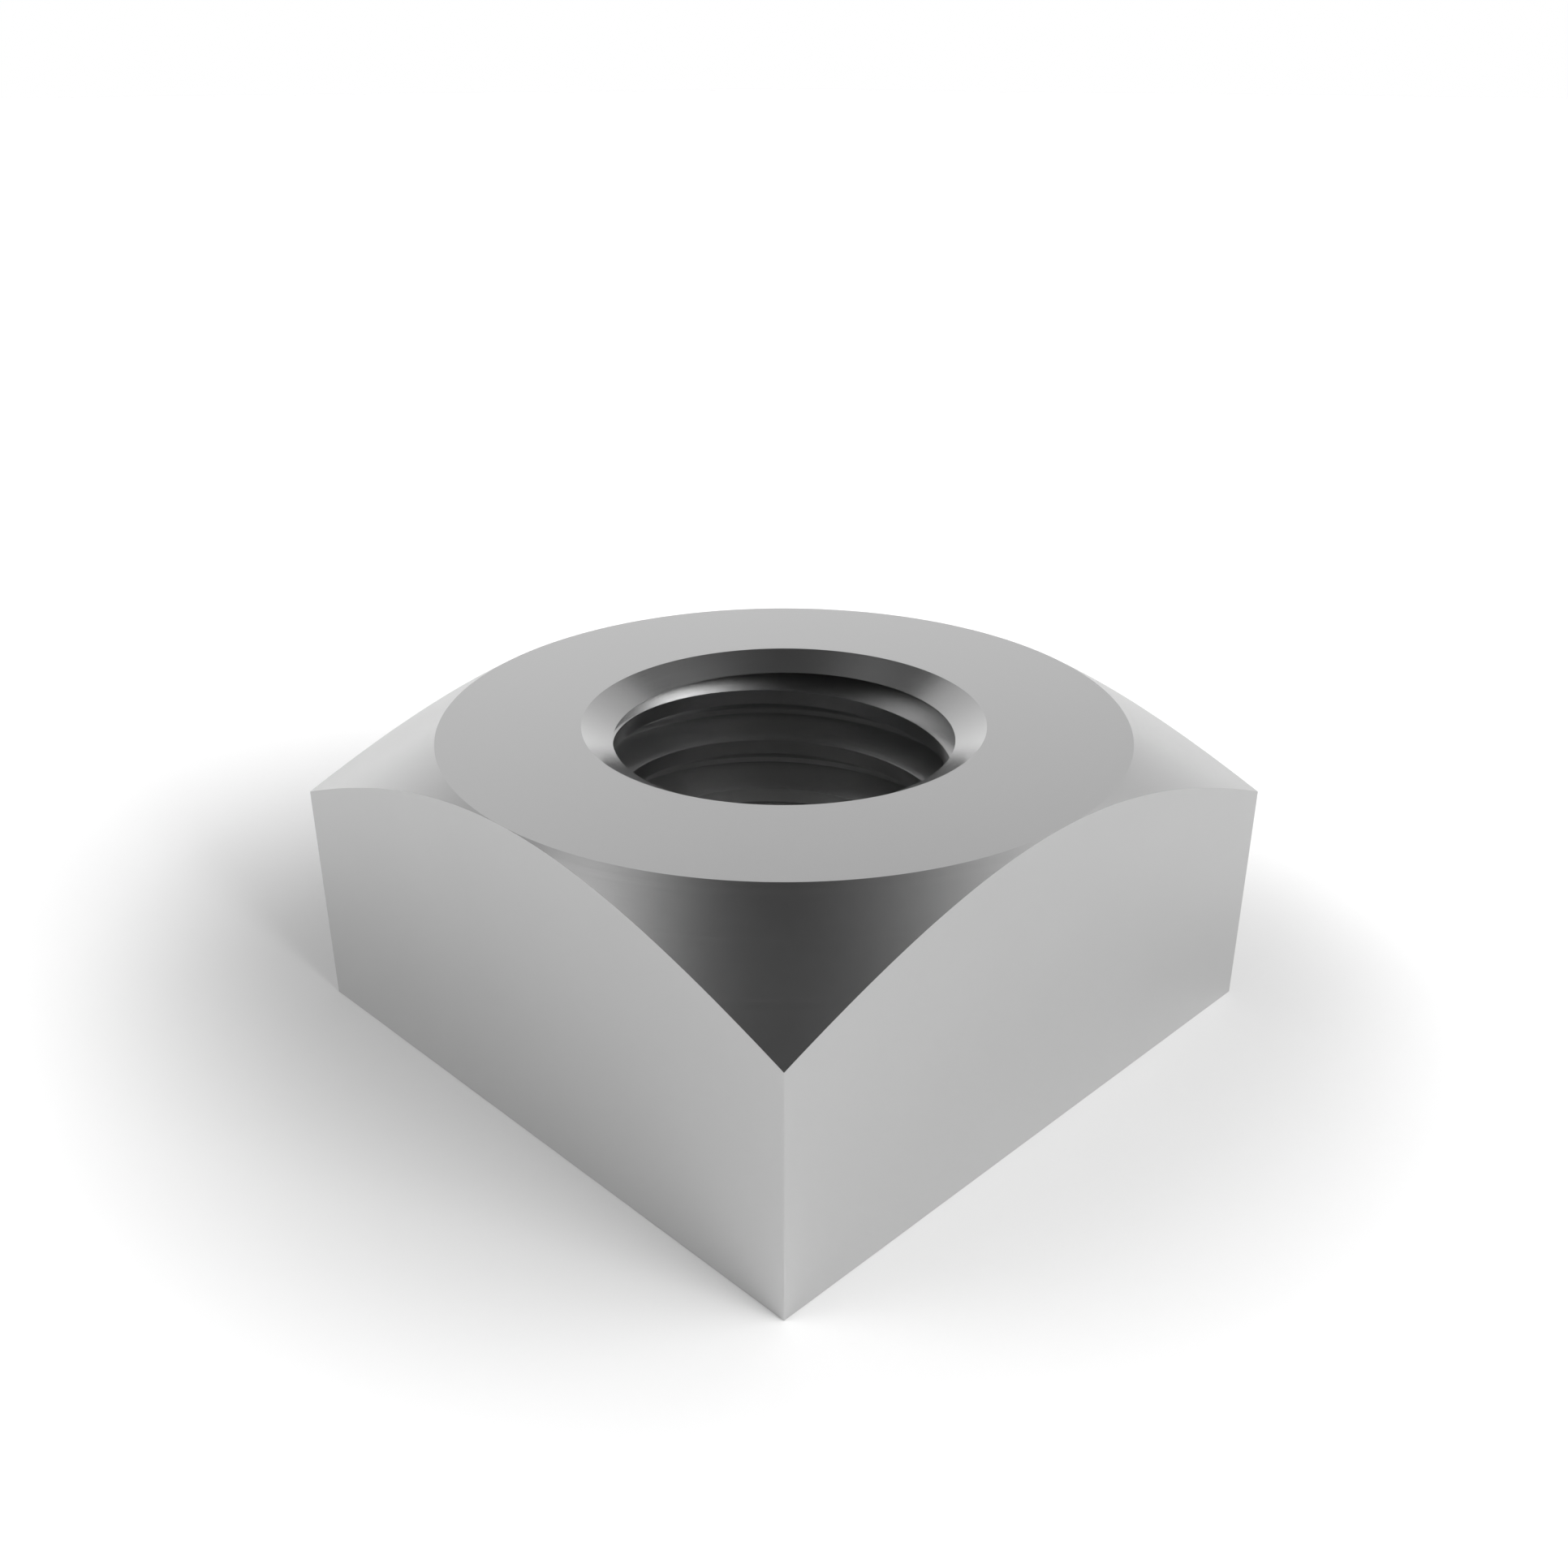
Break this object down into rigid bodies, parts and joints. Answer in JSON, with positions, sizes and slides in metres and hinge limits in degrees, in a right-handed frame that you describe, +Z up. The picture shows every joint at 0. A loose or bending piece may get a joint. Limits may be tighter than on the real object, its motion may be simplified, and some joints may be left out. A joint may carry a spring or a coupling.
{
  "type": "square nut",
  "caption": "Metric square nut with a right-hand threaded through hole, countersunk at both ends, chamfered corners on top and a flat base; a spanner holds it by its flats.",
  "frame": {"origin": "middle of the flat base, on the bore's axis", "axes": "+Z up the bore towards the chamfered top face, the flats face X and Y"},
  "size_m": [0.017, 0.017, 0.008],
  "materials": {
    "bare_steel": "smooth satin bare steel"
  },
  "bodies": {
    "root": {"nut_body": "bare_steel"}
  },
  "joints": []
}
